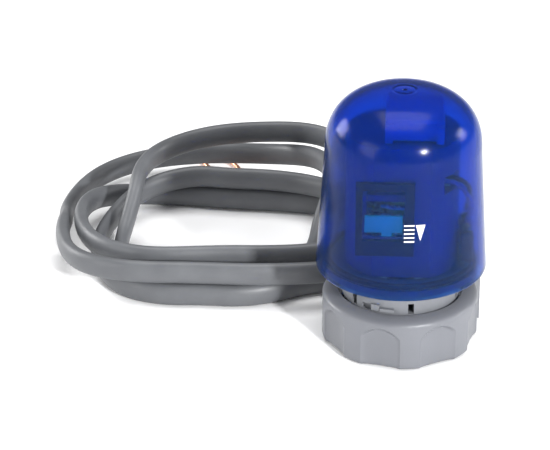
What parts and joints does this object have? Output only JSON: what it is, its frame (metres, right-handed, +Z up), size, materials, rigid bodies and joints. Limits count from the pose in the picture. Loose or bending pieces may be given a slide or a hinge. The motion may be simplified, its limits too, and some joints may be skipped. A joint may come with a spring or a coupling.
{
  "type": "thermal valve actuator head",
  "caption": "Domed thermal valve actuator with translucent cover, fluted union nut, lifting plunger, position window and a flat two-core lead in a loose coil.",
  "frame": {"origin": "centre of the union nut's lower face, on the axis of the dome", "axes": "+Z up the axis to the top of the dome, -Y towards the position window, the lead leaves at +X +Y"},
  "size_m": [0.1087, 0.1163, 0.0646],
  "materials": {
    "cover_blue": "smooth translucent",
    "nut_grey": "satin",
    "base_grey": "satin",
    "housing_blue": "satin",
    "bezel_navy": "satin",
    "indicator_turquoise": "satin",
    "drive_white": "satin",
    "lead_grey": "satin PVC",
    "brass": "turned",
    "steel": "bright",
    "copper": "bare wire",
    "ceramic": "fired",
    "seal_black": "matt",
    "core_brown": "satin",
    "core_blue": "satin"
  },
  "bodies": {
    "head": {"base_carrier": "base_grey", "cable_outlet": "base_grey", "strain_relief": "lead_grey", "nut_snap_ring": "steel", "plunger_guide": "drive_white", "plunger_seal": "seal_black", "cover_seal": "seal_black", "dome_cover": "cover_blue", "inner_housing": "housing_blue", "indicator_bezel": "bezel_navy", "housing_cap": "housing_blue", "element_carrier": "housing_blue", "wax_element": "brass", "ptc_heater": "ceramic", "heater_contact_lower": "brass", "heater_contact_upper": "brass", "return_spring": "steel", "terminal_block": "bezel_navy", "terminal_screw_1": "brass", "terminal_screw_2": "brass", "heater_wire_brown": "core_brown", "heater_wire_blue": "core_blue", "supply_wire_brown": "core_brown", "supply_wire_blue": "core_blue", "lead": "lead_grey", "lead_core_brown": "copper", "lead_core_blue": "copper"},
    "nut": {"union_nut": "nut_grey"},
    "drive": {"plunger": "drive_white", "pressure_foot": "steel", "lift_yoke": "drive_white", "element_piston": "steel", "spring_washer": "steel", "position_indicator": "indicator_turquoise"}
  },
  "joints": [
    {"name": "nut_spin", "type": "hinge", "parent": "head", "child": "nut", "pos_m": [0, 0, 0], "axis": [0, 0, 1], "continuous": true},
    {"name": "drive_lift", "type": "slide", "parent": "head", "child": "drive", "axis": [0, 0, 1], "range_m": [0, 0.004], "stiffness_N_per_m": 2000, "springref_m": -0.002, "deforming": ["return_spring"]}
  ]
}
